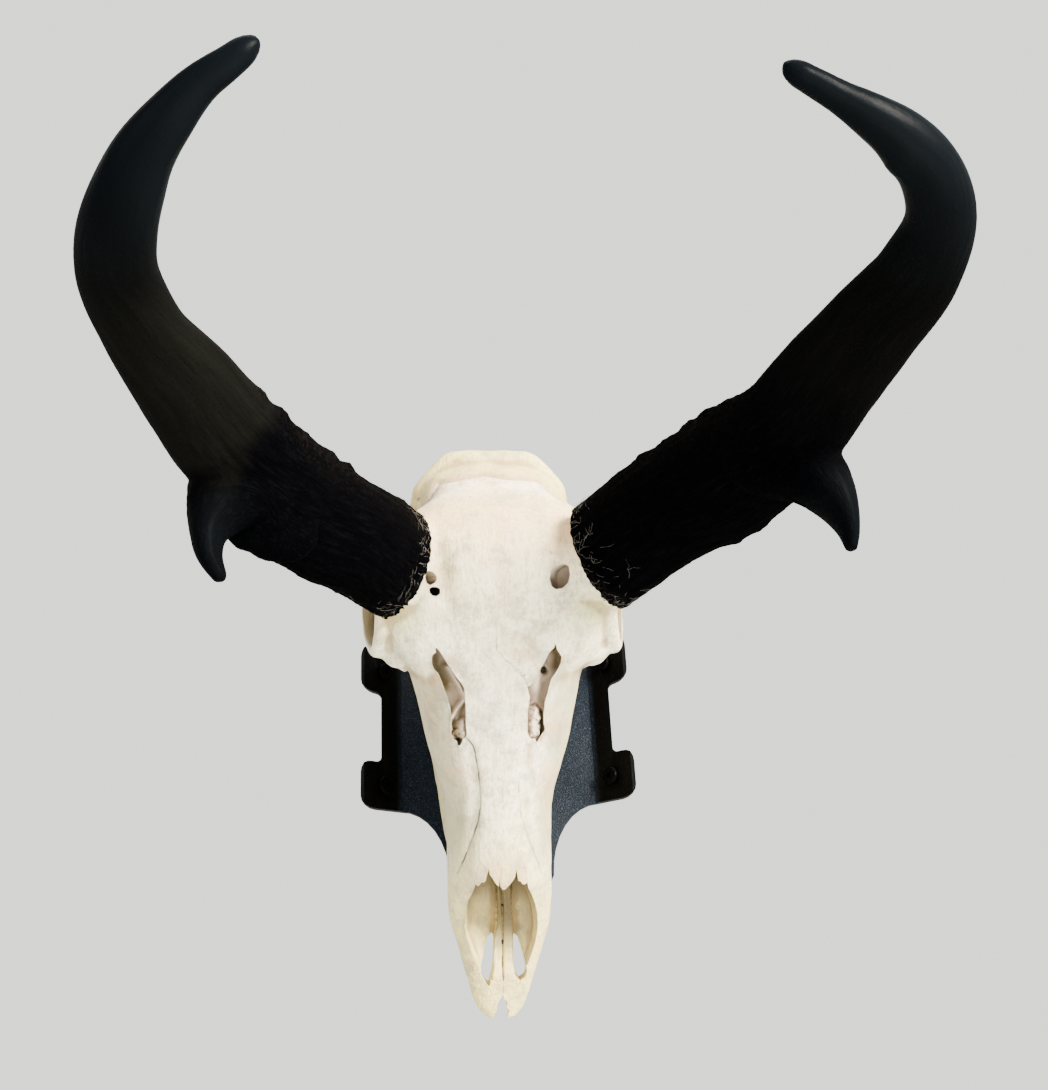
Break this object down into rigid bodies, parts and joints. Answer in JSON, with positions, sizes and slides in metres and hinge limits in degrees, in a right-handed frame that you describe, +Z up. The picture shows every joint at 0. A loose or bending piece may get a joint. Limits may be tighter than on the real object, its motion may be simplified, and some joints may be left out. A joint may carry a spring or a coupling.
{
  "type": "skull wall mount",
  "caption": "Pronghorn skull with black pronged horn sheaths, hung nose down on a folded steel bracket that bridges a room corner.",
  "frame": {"origin": "on the back of the bracket's front plate, on its centre line and at half its height", "axes": "+Y into the corner, through the plate; +Z up; +X to the right as seen from in front"},
  "size_m": [0.3129, 0.4427, 0.3135],
  "materials": {
    "bone": "matt, dry bone",
    "horn": "keratin, rough at the base and polished at the tips",
    "enamel": "stained enamel",
    "powder_coat": "fine-textured satin black powder coat",
    "black_steel": "blackened steel",
    "rubber": "matt"
  },
  "bodies": {
    "root": {"skull": "bone", "horn_sheath_left": "horn", "horn_sheath_right": "horn", "left_premolar_2": "enamel", "left_premolar_3": "enamel", "left_premolar_4": "enamel", "left_molar_1": "enamel", "left_molar_2": "enamel", "left_molar_3": "enamel", "right_premolar_2": "enamel", "right_premolar_3": "enamel", "right_premolar_4": "enamel", "right_molar_1": "enamel", "right_molar_2": "enamel", "right_molar_3": "enamel", "corner_bracket": "powder_coat", "hanger_arm": "powder_coat", "rubber_sleeve": "rubber", "arm_bolt_upper": "black_steel", "arm_bolt_lower": "black_steel", "arm_nut_upper": "black_steel", "arm_nut_lower": "black_steel", "wall_screw_upper_left": "black_steel", "wall_screw_upper_right": "black_steel", "wall_screw_lower_left": "black_steel", "wall_screw_lower_right": "black_steel"}
  },
  "joints": []
}
